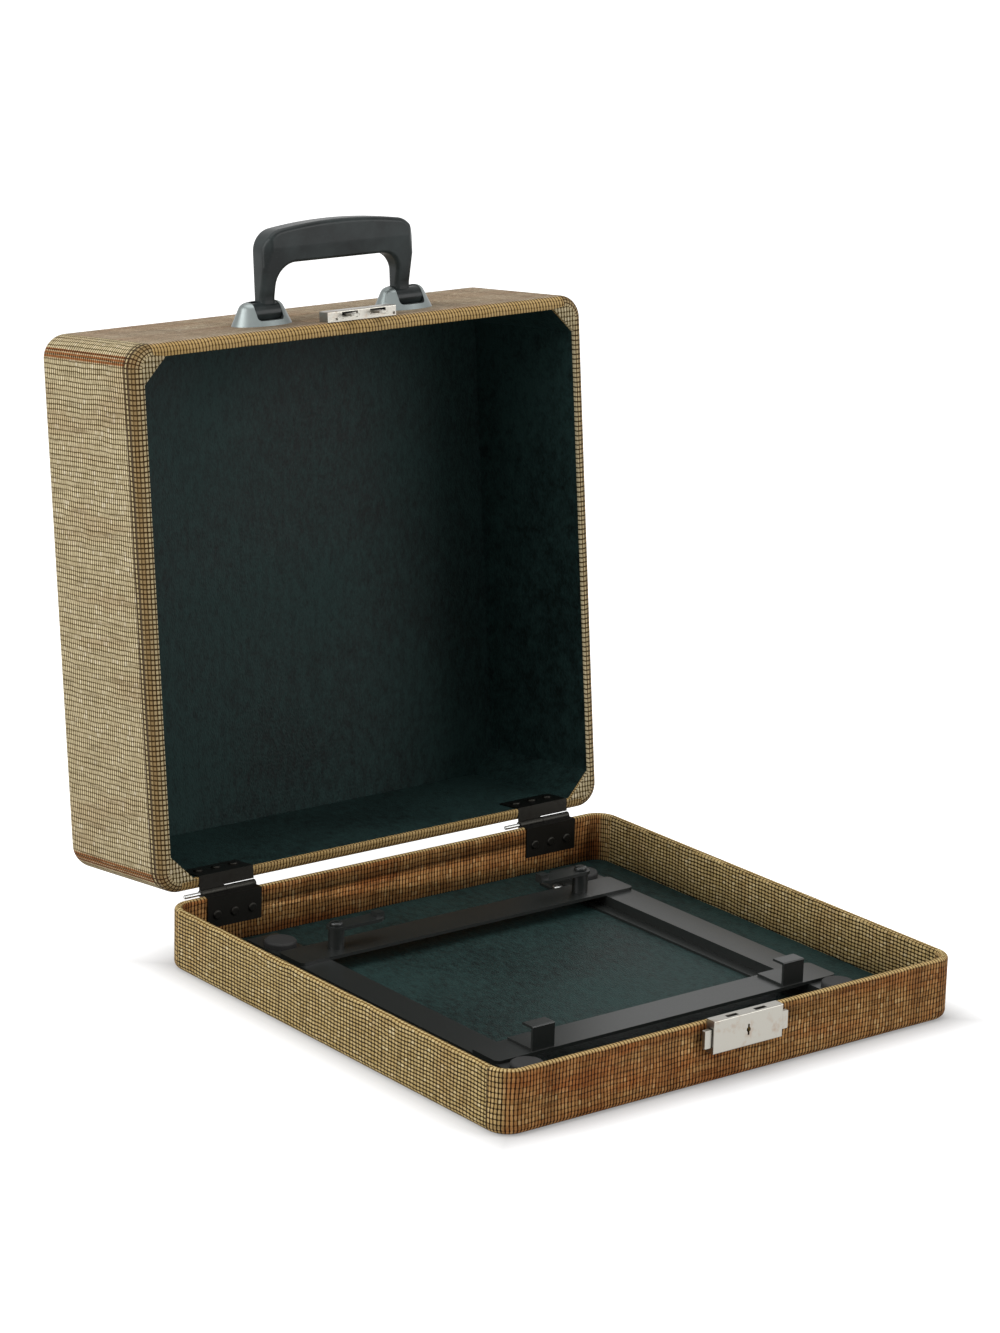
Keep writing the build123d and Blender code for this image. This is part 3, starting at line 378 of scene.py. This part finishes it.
def weaveThreads(tree, fields, sideToneAndShade, edges, chance, look):
    # a slub is a rounded bead, and the front's beads run closer together than the side's
    alongScale = add(tree, "MapRange", [sideToneAndShade, 0.0, 1.0, 1 / look["frontAlong"],
                                        1 / look["halfAlong"]], **smooth)
    rounds = []
    for axis, scale in (("X", 1 / look["halfAcross"]), ("Y", alongScale)):
        scaled = add(tree, "Math", [edges[axis], scale], **product)
        rounds.append(add(tree, "Math", [scaled, weave["square"]], operation="POWER"))
    roundness = add(tree, "Math", rounds, **total)
    slub = add(tree, "MapRange", [roundness, *weave["slubEdge"], 1.0, 0.0], **smooth)
    # side colours against front colours: partly the threads' own, partly painted shade that differs with the
    # wall's facing
    shades = {}
    for key, driver in (("Slubs", chance["slub"]), ("Gaps", chance["column"])):
        sideShade = add(tree, "ValToRGB", [driver], look["side" + key])
        frontShade = add(tree, "ValToRGB", [driver], look["front" + key])
        shades[key] = add(tree, "Mix", [sideToneAndShade, frontShade, sideShade], **blend)
    woven = add(tree, "Mix", [slub, shades["Gaps"], shades["Slubs"]], **blend)
    # the line between two rows is weak or strong, and breaks up along its length
    rowLine = add(tree, "MapRange", [edges["Y"], *weave["rowLine"], 0.0, 1.0], **smooth)
    rowWeight = add(tree, "MapRange", [chance["row"], 0.0, 1.0, look["rowWeak"], 1.0], **smooth)
    wallWeight = add(tree, "MapRange", [sideToneAndShade, 0.0, 1.0, look["frontRows"], 1.0], **smooth)
    for weight in (rowWeight, fields["broken"], wallWeight):
        rowLine = add(tree, "Math", [rowLine, weight], **product)
    for line in (rowLine, fields["streak"]):
        woven = add(tree, "Mix", [line, woven, colour(look["rowGap"])], **blend)
    return slub, woven


def tintPlaid(tree, maps, fields, sideToneAndShade, woven, look):
    # soft plaid on the front and rear: stripes one way, bands the other, and rusty patches, which
    # are weaker on the side walls
    front = add(tree, "Math", [1.0, sideToneAndShade], operation="SUBTRACT")
    plaid = add(tree, "Math", [front, look["plaid"]], **product)
    bands = add(tree, "Math", [fields["band"], fields["patch"]], **total)
    sidePatch = add(tree, "Math", [maps["side"], weave["sidePatch"]], **product)
    for field, weight, shade in ((fields["stripe"], plaid, weave["stripeShade"]),
                                 (bands, plaid, look["rust"]),
                                 (fields["patch"], sidePatch, weave["patchShade"])):
        weighted = add(tree, "Math", [field, weight], **product)
        woven = add(tree, "Mix", [weighted, woven, colour(shade)], **tint)
    return woven


def wearRim(tree, run, slub, woven, look):
    # pale thread over the rim, worn by the hands
    start, end = look["rimStart"], look["rimEnd"]
    fadeIn = add(tree, "MapRange", [run, start, start + weave["rimFadeIn"], 0.0, weave["rimWorn"]],
                 **smooth)
    fadeOut = add(tree, "MapRange", [run, end, end + weave["rimFadeOut"], 1.0, 0.0], **smooth)
    rim = add(tree, "Math", [fadeIn, fadeOut], **product)
    worn = add(tree, "Mix", [slub, colour(look["rimGap"]), colour(look["rimShade"])], **blend)
    return add(tree, "Mix", [rim, woven, worn], **blend)


def lineOverlap(tree, maps, woven, look):
    # the dark line where the front's cloth overlaps the side's
    line = add(tree, "MapRange", [maps["seam"], *weave["overlapLine"], 0.0, 1.0], **smooth)
    for weight in (maps["overlap"], look["overlapLine"]):
        line = add(tree, "Math", [line, weight], **product)
    return add(tree, "Mix", [line, woven, colour(weave["overlapShade"])], **blend)


def trimLid(tree, maps, edgeY, woven):
    # three rust rows by the upright corners, then the beaded threads along the side walls' rim
    first, last, fade = rustRows["first"], rustRows["last"], rustRows["fade"]
    wave = add(tree, "Math", [maps["seam"], rustRows["spacing"]], operation="PINGPONG")
    triple = add(tree, "MapRange", [wave, *rustRows["range"]], **smooth)
    rows = add(tree, "MapRange", [maps["seam"], first, first - fade, 0.0, 1.0], **smooth)
    rowsEnd = add(tree, "MapRange", [maps["seam"], last, last + fade, 0.0, 1.0], **smooth)
    for weight in (rowsEnd, triple, maps["side"]):
        rows = add(tree, "Math", [rows, weight], **product)
    rusty = add(tree, "Mix", [rows, woven, colour(rustRows["shade"])], **tint)

    low, high = rimLines["start"], rimLines["end"]
    along = add(tree, "MapRange", [maps["run"], low, high])
    stops = [((place - low) / (high - low), shade) for place, shade in rimLines["shades"]]
    threadShade = add(tree, "ValToRGB", [along], stops)
    threadShade.color_ramp.interpolation = "CONSTANT"
    bead = add(tree, "MapRange", [edgeY, *rimLines["bead"], 1.0, 0.0], **smooth)
    beaded = add(tree, "Mix", [bead, colour(rimLines["ground"]), threadShade], **blend)
    onRim = add(tree, "Math", [maps["run"], low], operation="GREATER_THAN")
    sideFrom = (cloth["sideMark"] + cloth["flatMark"]) / 2
    onSide = add(tree, "Math", [maps["side"], sideFrom], operation="GREATER_THAN")
    for weight in (onSide, rimLines["weight"]):
        onRim = add(tree, "Math", [onRim, weight], **product)
    return add(tree, "Mix", [onRim, rusty, beaded], **blend)


def makeTweed(name, look):
    material, tree, shader = newMaterial(name)
    maps = clothMaps(tree)
    # by a tray's corners the front's cloth still has the side's pale threads
    nearCorner = add(tree, "MapRange", [maps["seam"], *weave["paleCorner"], look["cornerPale"], 0.0],
                     **smooth)
    sideToneAndShade = add(tree, "Math", [maps["side"], nearCorner], operation="MAXIMUM")
    fields = spreadPatterns(tree, maps["uv"])
    edges, chance = threadCells(tree, maps["uv"])
    slub, woven = weaveThreads(tree, fields, sideToneAndShade, edges, chance, look)
    tinted = tintPlaid(tree, maps, fields, sideToneAndShade, woven, look)
    rimmed = wearRim(tree, maps["run"], slub, tinted, look)
    if "overlapLine" in look:
        shade = lineOverlap(tree, maps, rimmed, look)
    else:
        shade = trimLid(tree, maps, edges["Y"], rimmed)
    crown = add(tree, "Math", [slub, chance["slub"], slub], operation="MULTIPLY_ADD")
    bump = add(tree, "Bump", {"Strength": weave["bump"], "Distance": weave["slubHeight"] * mm,
                              "Height": crown})
    feed(tree, shader, Base_Color=shade, Roughness=weave["rough"], Normal=bump,
         Specular_IOR_Level=weave["shine"])
    return material


# Leatherette: paper-backed coated cloth, embossed with a fine crinkle and rolled out one way, so it
# has a low broken shine. The real crinkle is finer, and it is drawn as coarse as it needs to show.
leather = {
    "crinkle": 1.43, "fine": 1.11, "folds": 3.85, "mottle": 111.0, "height": 0.2,      # mm
    "rolled": 0.45, "crinkleWeight": 2.0, "bump": 0.7,
    # each noise's range, and what it becomes in the shade
    "mottleRange": (0.35, 0.7, 0.0, 1.0), "mottleWeight": 0.6, "crestHighlightRange": (0.3, 0.7, 0.0, 0.7),
    "foldRange": (0.35, 0.65, -0.35, 0.35), "wornRange": (0.3, 0.7), "smoother": 0.06, "rougher": 0.08,
}
leathers = {
    # nearly black green, paler in broad mottles and folds, and paler on the crests of the crinkle as a painted
    # highlight
    "green_lining": {"name": "green leatherette", "shade": "#070f0e", "paleAndHighlightShade": "#1f3331",
                     "rough": 0.55, "shine": 0.16},
    # plain black, with a little more shine, and the same mottles and painted highlight on the crests
    "black_sheet": {"name": "black leathercloth", "shade": "#0c0c0c", "paleAndHighlightShade": "#1c1c1b",
                    "rough": 0.6, "shine": 0.3},
}


def makeLeatherette(look):
    material, tree, shader = newMaterial(look["name"])
    place = add(tree, "TexCoord").outputs["Object"]
    stretch = (1.0, leather["rolled"], leather["rolled"])
    rolled = add(tree, "Mapping", {"Vector": place, "Scale": stretch})
    perMetre = {key: 1 / (leather[key] * mm) for key in ("crinkle", "fine", "folds", "mottle")}
    crinkle = add(tree, "TexVoronoi", {"Vector": rolled, "Scale": perMetre["crinkle"],
                                       "Randomness": 1.0}, feature="DISTANCE_TO_EDGE")
    fine = add(tree, "TexNoise", {"Vector": rolled, "Scale": perMetre["fine"], "Detail": 4.0,
                                  "Roughness": 0.6})
    broad = add(tree, "TexNoise", {"Vector": place, "Scale": perMetre["mottle"], "Detail": 4.0})
    folds = add(tree, "TexNoise", {"Vector": rolled, "Scale": perMetre["folds"], "Detail": 5.0,
                                   "Roughness": 0.7})
    grain = add(tree, "Math", [crinkle, leather["crinkleWeight"], fine], operation="MULTIPLY_ADD")
    bump = add(tree, "Bump", {"Strength": leather["bump"], "Distance": leather["height"] * mm,
                              "Height": grain})
    mottled = add(tree, "MapRange", [broad, *leather["mottleRange"]])
    # painted highlight: where the fine noise rises, as the bump raises it, the shade is drawn paler
    crestHighlight = add(tree, "MapRange", [fine, *leather["crestHighlightRange"]])
    folded = add(tree, "MapRange", [folds, *leather["foldRange"]])
    mottle = add(tree, "Math", [mottled, leather["mottleWeight"], crestHighlight], operation="MULTIPLY_ADD")
    mixed = add(tree, "Math", [mottle, folded], operation="ADD", use_clamp=True)
    shade = add(tree, "Mix", [mixed, colour(look["shade"]), colour(look["paleAndHighlightShade"])], **blend)
    worn = add(tree, "MapRange", [broad, *leather["wornRange"], look["rough"] - leather["smoother"],
                                  look["rough"] + leather["rougher"]])
    feed(tree, shader, Base_Color=shade, Roughness=worn, Normal=bump, Specular_IOR_Level=look["shine"])
    return material


# Metals, with a fine grain from plating, rolling or casting, drawn coarse enough to show, and with
# stains that dull the shine. Grain and height in mm.
metals = {
    # plated sheet, polished once: a warm pale grey with brownish spots
    "nickel_plate": {"name": "satin nickel plate", "shade": "#a09d95", "stainShade": "#8a6a50",
                     "stain": 0.6, "rough": 0.3, "height": 0.02, "grain": 0.4},
    # rolled and left bare: a cool grey with a thin brown film
    "bright_steel": {"name": "plain bright steel", "shade": "#a9aaa8", "stainShade": "#6a5f50",
                     "stain": 0.3, "rough": 0.32, "height": 0.02, "grain": 0.3},
    # pressed: a very dark grey, a little dull, with soft highlights
    "hinge_steel": {"name": "dulled grey steel", "shade": "#2c2b28", "stainShade": "#1a1613",
                    "stain": 0.6, "rough": 0.42, "height": 0.03, "grain": 0.5},
    # turned from the bar and tarnished: a dim yellow
    "lock_brass": {"name": "turned brass", "shade": "#8b7541", "stainShade": "#4a3a1c",
                   "stain": 0.4, "rough": 0.35, "height": 0.02, "grain": 0.3},
    # cast and tumbled: a blue grey with broad highlights
    "saddle_metal": {"name": "satin die-cast alloy", "shade": "#7d8483", "stainShade": "#646a69",
                     "stain": 0.35, "rough": 0.36, "height": 0.03, "grain": 0.25},
}
metalWear = {"stainSize": 11.1,      # mm
             "stainRange": (0.52, 0.75), "stainDulls": 0.3, "roughSpread": 0.14, "bump": 0.3}


def makeMetal(look):
    material, tree, shader = newMaterial(look["name"])
    place = add(tree, "TexCoord").outputs["Object"]
    blotch = add(tree, "TexNoise", {"Vector": place, "Scale": 1 / (metalWear["stainSize"] * mm),
                                    "Detail": 4.0, "Roughness": 0.65})
    fine = add(tree, "TexNoise", {"Vector": place, "Scale": 1 / (look["grain"] * mm), "Detail": 3.0})
    spots = add(tree, "MapRange", [blotch, *metalWear["stainRange"], 0.0, look["stain"]])
    shade = add(tree, "Mix", [spots, colour(look["shade"]), colour(look["stainShade"])], **blend)
    spread = metalWear["roughSpread"]
    dull = add(tree, "Math", [fine, spread, look["rough"] - spread / 2], operation="MULTIPLY_ADD")
    duller = add(tree, "Math", [spots, metalWear["stainDulls"], dull], operation="MULTIPLY_ADD")
    bump = add(tree, "Bump", {"Strength": metalWear["bump"], "Distance": look["height"] * mm,
                              "Height": fine})
    feed(tree, shader, Base_Color=shade, Roughness=duller, Normal=bump, Metallic=1.0)
    return material


# Moulded thermosetting plastic, polished once and then handled for decades: deep black with a
# satin shine, greyer and duller where the hand goes, with fine scratches along the grip.
grip = {"shade": "#151a1a", "rubbedShade": "#323939", "scratchShade": "#414948",
        "rubbed": 28.6, "scratch": 1.43, "height": 0.1,      # mm
        "scratchStretch": 0.35, "markRange": (0.62, 0.75, 0.0, 0.25),
        "roughRange": (0.3, 0.7, 0.30, 0.42), "rubbedRange": (0.38, 0.66), "bump": 0.08, "shine": 0.2}


def makeHandlePlastic():
    material, tree, shader = newMaterial("moulded black plastic")
    place = add(tree, "TexCoord").outputs["Object"]
    rubbed = add(tree, "TexNoise", {"Vector": place, "Scale": 1 / (grip["rubbed"] * mm), "Detail": 5.0})
    drawn = add(tree, "Mapping", {"Vector": place, "Scale": (grip["scratchStretch"], 1.0, 1.0)})
    scratch = add(tree, "TexNoise", {"Vector": drawn, "Scale": 1 / (grip["scratch"] * mm),
                                     "Detail": 2.0})
    marks = add(tree, "MapRange", [scratch, *grip["markRange"]])
    wear = add(tree, "MapRange", [rubbed, *grip["roughRange"]])
    dull = add(tree, "Math", [wear, marks], **total)
    worn = add(tree, "MapRange", [rubbed, *grip["rubbedRange"]])
    handled = add(tree, "Mix", [worn, colour(grip["shade"]), colour(grip["rubbedShade"])], **blend)
    shade = add(tree, "Mix", [marks, handled, colour(grip["scratchShade"])], **blend)
    bump = add(tree, "Bump", {"Strength": grip["bump"], "Distance": grip["height"] * mm,
                              "Height": rubbed})
    feed(tree, shader, Base_Color=shade, Roughness=dull, Normal=bump, Specular_IOR_Level=grip["shine"])
    return material


# Materials that need only a grain. Grain and height in mm.
plains = {
    # stoved on pressed sheet: black with a smooth low sheen
    "cradle_steel": {"name": "black stove enamel", "shade": "#141615", "otherShade": "#1f2220",
                     "rough": 0.38, "grain": 1.11, "height": 0.03, "stretch": (1, 1, 1)},
    # moulded and bloomed: a flat dark grey
    "rubber": {"name": "moulded black rubber", "shade": "#121212", "otherShade": "#1d1d1c",
               "rough": 0.75, "grain": 1.67, "height": 0.04, "stretch": (1, 1, 1)},
    # sawn and unsealed: a dull tan with its grain along X
    "board": {"name": "bare plywood", "shade": "#a98455", "otherShade": "#c19c6b",
              "rough": 0.7, "grain": 8.33, "height": 0.05, "stretch": (1, 12, 12)},
}
plainWear = {"roughSpread": 0.16, "bump": 0.3}


def makePlain(look):
    material, tree, shader = newMaterial(look["name"])
    place = add(tree, "TexCoord").outputs["Object"]
    mapped = add(tree, "Mapping", {"Vector": place, "Scale": look["stretch"]})
    grain = add(tree, "TexNoise", {"Vector": mapped, "Scale": 1 / (look["grain"] * mm), "Detail": 5.0,
                                   "Roughness": 0.6})
    shadeMix = add(tree, "Mix", [grain, colour(look["shade"]), colour(look["otherShade"])], **blend)
    spread = plainWear["roughSpread"]
    rougher = add(tree, "Math", [grain, spread, look["rough"] - spread / 2], operation="MULTIPLY_ADD")
    bump = add(tree, "Bump", {"Strength": plainWear["bump"], "Distance": look["height"] * mm,
                              "Height": grain})
    feed(tree, shader, Base_Color=shadeMix, Roughness=rougher, Normal=bump)
    return material


tweeds = {piece: makeTweed("coated tweed cloth, " + piece, look) for piece, look in tweedLooks.items()}
finishes = {"tweed_cloth": tweeds["tray"], "handle_plastic": makeHandlePlastic()}
for make, looks in ((makeLeatherette, leathers), (makeMetal, metals), (makePlain, plains)):
    finishes.update({slot: make(look) for slot, look in looks.items()})
darkened = {"hinge_base_rivets", "hinge_lid_rivets"}       # as dark as the leaves they hold
for subpart in frame["record"]["subparts"]:
    piece = nodes[subpart["node"]]
    slot = "hinge_steel" if subpart["node"] in darkened else subpart["material_slot"]
    piece.data.materials.clear()
    piece.data.materials.append(finishes[slot])
for piece, finish in ((trayCloth, tweeds["tray"]), (lidCloth, tweeds["lid"]),
                      (catchSpring, finishes["bright_steel"])):
    piece.data.materials.clear()
    piece.data.materials.append(finish)
print("finishes given")


# Floor, sky and lamps. The paper glows white for the camera and in reflections, and glows less
# close round the tray, a painted shade where its shadow lies. Lengths in metres.
studio = {"floorHalf": 6.0, "floorDrop": 0.0003, "paper": 0.55, "bounce": 0.5,
          "glowNear": 0.22, "glowFar": 1.0, "footprint": 0.165, "fade": 0.045,
          "ambient": 0.24, "white": (1, 1, 1, 1), "aim": (0, 0.1, 0.15)}
lampSet = [
    {"name": "key", "place": (-2.9, 0.4, 1.3), "size": 2.4, "power": 78},
    {"name": "fill", "place": (1.8, -2.5, 1.4), "size": 1.7, "power": 40},
    {"name": "top", "place": (0.0, 0.3, 3.0), "size": 2.6, "power": 42},
]


def makeFloor():
    bm = bmesh.new()
    bmesh.ops.create_grid(bm, x_segments=1, y_segments=1, size=studio["floorHalf"])
    bmesh.ops.translate(bm, verts=bm.verts, vec=(0, 0, -studio["floorDrop"]))
    mesh = bpy.data.meshes.new("floor")
    bm.to_mesh(mesh)
    bm.free()
    floor = bpy.data.objects.new("floor", mesh)
    bpy.context.scene.collection.objects.link(floor)
    material = bpy.data.materials.new("white paper sweep")
    material.use_nodes = True
    tree = material.node_tree
    tree.nodes.clear()
    ray = add(tree, "LightPath").outputs
    seen = add(tree, "Math", [ray["Is Camera Ray"], ray["Is Glossy Ray"]], operation="MAXIMUM")
    place = add(tree, "TexCoord").outputs["Object"]
    spot = add(tree, "SeparateXYZ", [add(tree, "VectorMath", [place], operation="ABSOLUTE")])
    furthest = add(tree, "Math", [spot.outputs["X"], spot.outputs["Y"]], operation="MAXIMUM")
    edge = studio["footprint"]
    # painted shade: the glow is weakest over the tray's footprint and fades up to full just outside it
    strength = add(tree, "MapRange", [furthest, edge, edge + studio["fade"], studio["glowNear"],
                                      studio["glowFar"]])
    paper = add(tree, "BsdfDiffuse", {"Color": (studio["paper"],) * 3 + (1,)})
    glow = add(tree, "Emission", {"Color": studio["white"], "Strength": strength})
    plain = add(tree, "BsdfDiffuse", {"Color": (studio["bounce"],) * 3 + (1,)})
    chosen = add(tree, "MixShader", [seen, plain, add(tree, "AddShader", [paper, glow])])
    add(tree, "OutputMaterial", {"Surface": chosen})
    floor.data.materials.append(material)


def makeSky():
    world = bpy.data.worlds.new("studio")
    bpy.context.scene.world = world
    world.use_nodes = True
    tree = world.node_tree
    tree.nodes.clear()
    ray = add(tree, "LightPath").outputs
    seen = ray["Is Camera Ray"]
    for kind in ("Is Transmission Ray", "Is Glossy Ray"):
        seen = add(tree, "Math", [seen, ray[kind]], operation="MAXIMUM")
    strength = add(tree, "Mix", [seen, studio["ambient"], 1.0], data_type="FLOAT")
    sky = add(tree, "Background", {"Color": studio["white"], "Strength": strength})
    add(tree, "OutputWorld", {"Surface": sky})


def makeLamps():
    for lamp in lampSet:
        data = bpy.data.lights.new(lamp["name"], "AREA")
        data.energy = lamp["power"]
        data.size = lamp["size"]
        light = bpy.data.objects.new(lamp["name"], data)
        light.location = lamp["place"]
        aim = Vector(studio["aim"]) - Vector(lamp["place"])
        light.rotation_euler = aim.to_track_quat("-Z", "Y").to_euler()
        bpy.context.scene.collection.objects.link(light)


makeFloor()
makeSky()
makeLamps()
bpy.context.scene.view_settings.view_transform = "Standard"
print("studio made")
